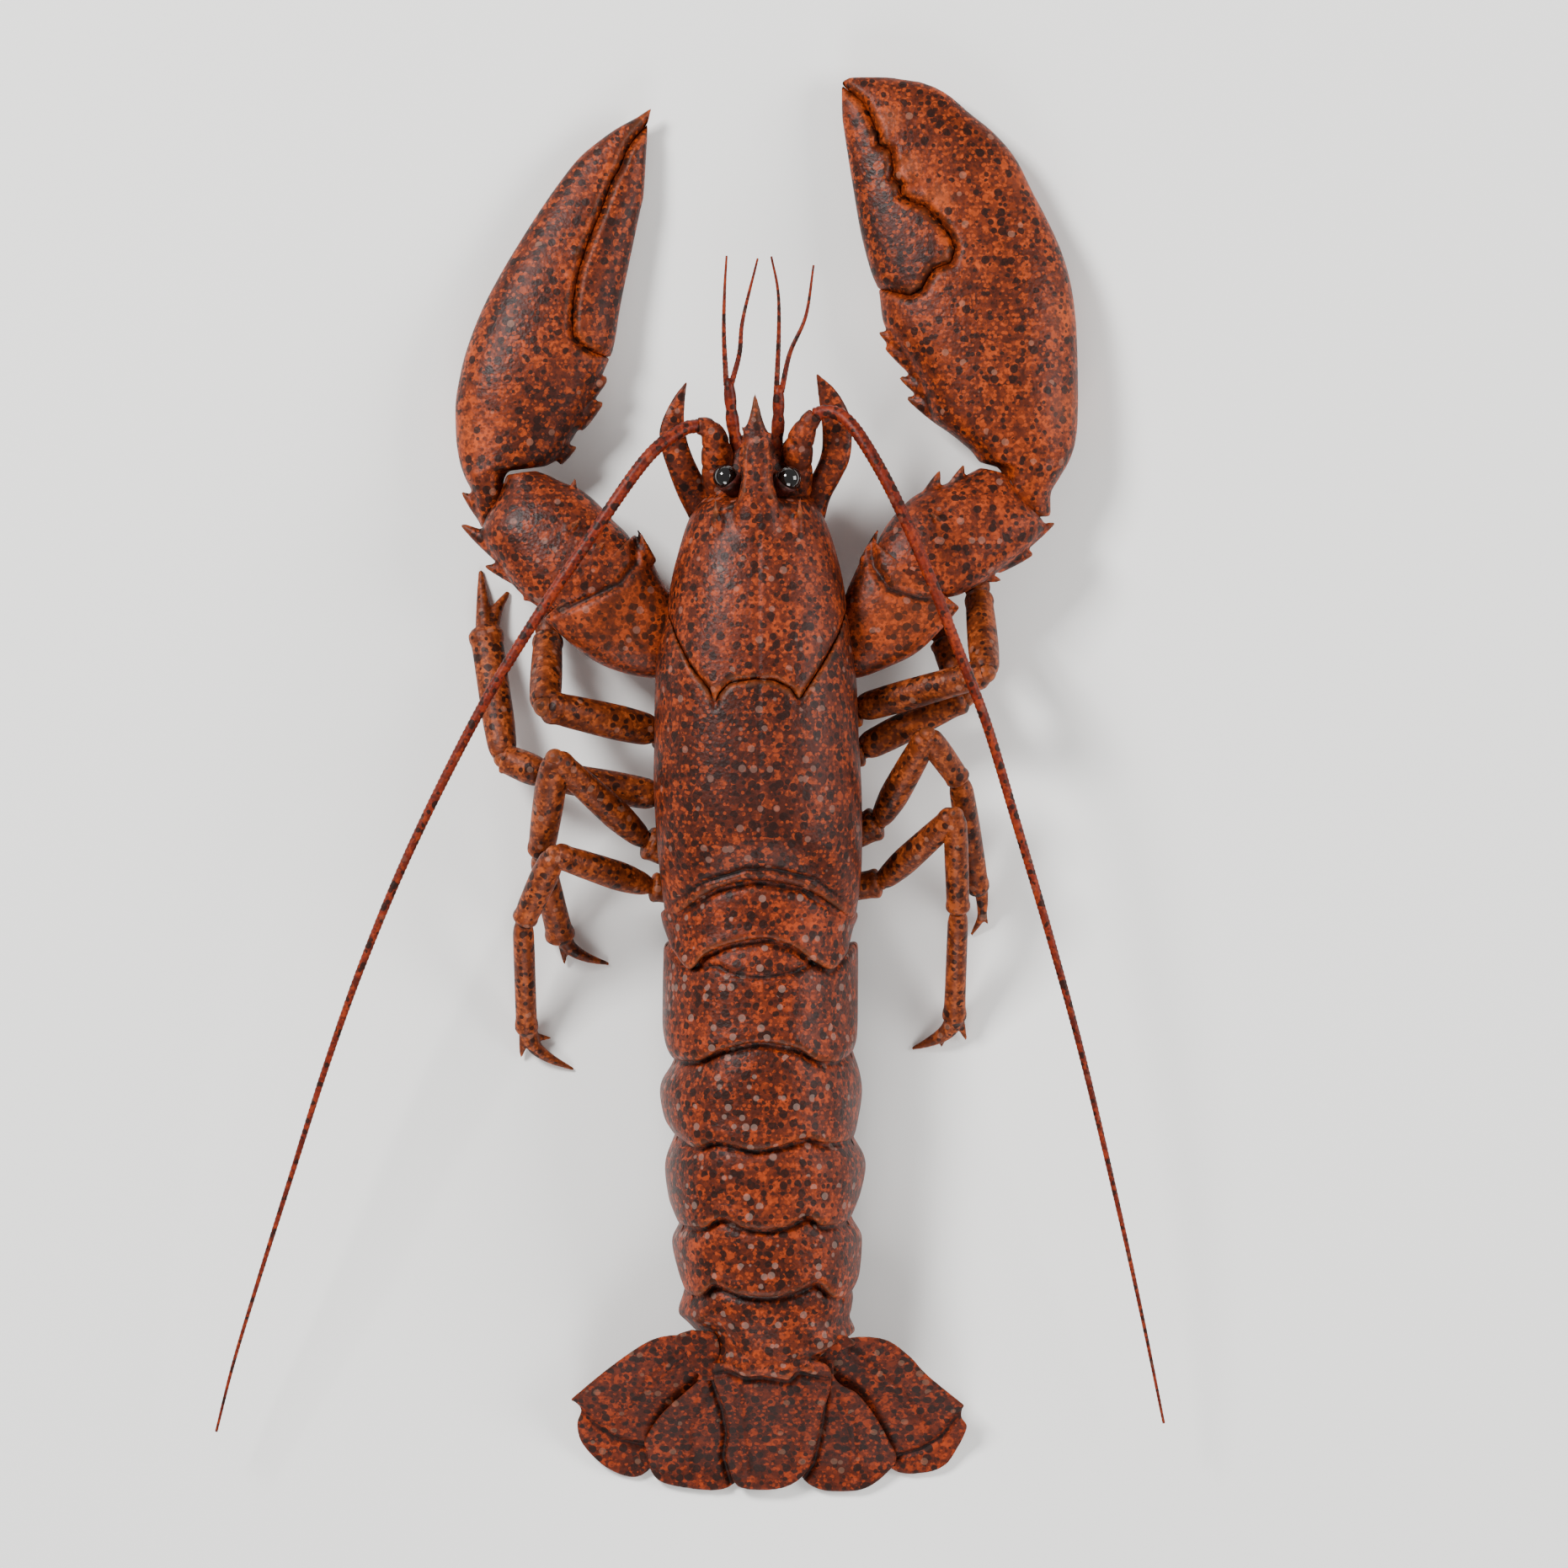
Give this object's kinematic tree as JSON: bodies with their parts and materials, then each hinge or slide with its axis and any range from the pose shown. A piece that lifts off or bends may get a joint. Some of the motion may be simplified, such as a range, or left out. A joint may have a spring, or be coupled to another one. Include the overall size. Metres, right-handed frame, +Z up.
{
  "type": "european lobster",
  "caption": "Life-size European lobster model at rest, claws forward, long feelers swept back and tail fan spread.",
  "frame": {"origin": "middle of the lowest level, under the centre of the bounding box", "axes": "+X to the animal's right side, +Y towards its head and claws, +Z up"},
  "size_m": [0.282, 0.421, 0.0618],
  "materials": {
    "carapace_shell": "calcified shell, brown-orange with dark spots and pale dots, satin",
    "claw_shell": "calcified shell, bright orange-brown with dark spots, satin",
    "claw_finger_shell": "calcified shell, grey-purple brown with dark spots, satin",
    "arm_shell": "calcified shell, orange-brown with olive touches and dark spots, satin",
    "leg_shell": "thin shell, plain orange-brown with small spots, satin",
    "tail_shell": "calcified shell, dark brown-orange with pale dots, satin",
    "feeler": "ringed horny feeler, brick red, matt",
    "eye": "faceted black cornea, glossy"
  },
  "bodies": {
    "root": {"abdomen_1": "tail_shell", "abdomen_2": "tail_shell", "abdomen_3": "tail_shell", "abdomen_4": "tail_shell", "abdomen_5": "tail_shell", "abdomen_6": "tail_shell", "antenna_base_left": "carapace_shell", "antenna_base_right": "carapace_shell", "antenna_left": "feeler", "antenna_right": "feeler", "antennal_scale_left": "carapace_shell", "antennal_scale_right": "carapace_shell", "antennule_left": "feeler", "antennule_right": "feeler", "claw_arm_left": "arm_shell", "claw_arm_right": "arm_shell", "claw_finger_left": "claw_finger_shell", "claw_finger_right": "claw_finger_shell", "claw_palm_left": "claw_shell", "claw_palm_right": "claw_shell", "claw_wrist_left": "arm_shell", "claw_wrist_right": "arm_shell", "eye_left": "eye", "eye_right": "eye", "head": "carapace_shell", "leg_left_1_foot": "leg_shell", "leg_left_1_middle": "leg_shell", "leg_left_1_upper": "leg_shell", "leg_left_2_foot": "leg_shell", "leg_left_2_middle": "leg_shell", "leg_left_2_upper": "leg_shell", "leg_left_3_foot": "leg_shell", "leg_left_3_middle": "leg_shell", "leg_left_3_upper": "leg_shell", "leg_left_4_foot": "leg_shell", "leg_left_4_middle": "leg_shell", "leg_left_4_upper": "leg_shell", "leg_right_1_foot": "leg_shell", "leg_right_1_middle": "leg_shell", "leg_right_1_upper": "leg_shell", "leg_right_2_foot": "leg_shell", "leg_right_2_middle": "leg_shell", "leg_right_2_upper": "leg_shell", "leg_right_3_foot": "leg_shell", "leg_right_3_middle": "leg_shell", "leg_right_3_upper": "leg_shell", "leg_right_4_foot": "leg_shell", "leg_right_4_middle": "leg_shell", "leg_right_4_upper": "leg_shell", "maxilliped_left": "leg_shell", "maxilliped_right": "leg_shell", "tail_inner_left": "tail_shell", "tail_inner_right": "tail_shell", "tail_outer_left": "tail_shell", "tail_outer_right": "tail_shell", "telson": "tail_shell", "thorax": "carapace_shell"}
  },
  "joints": []
}
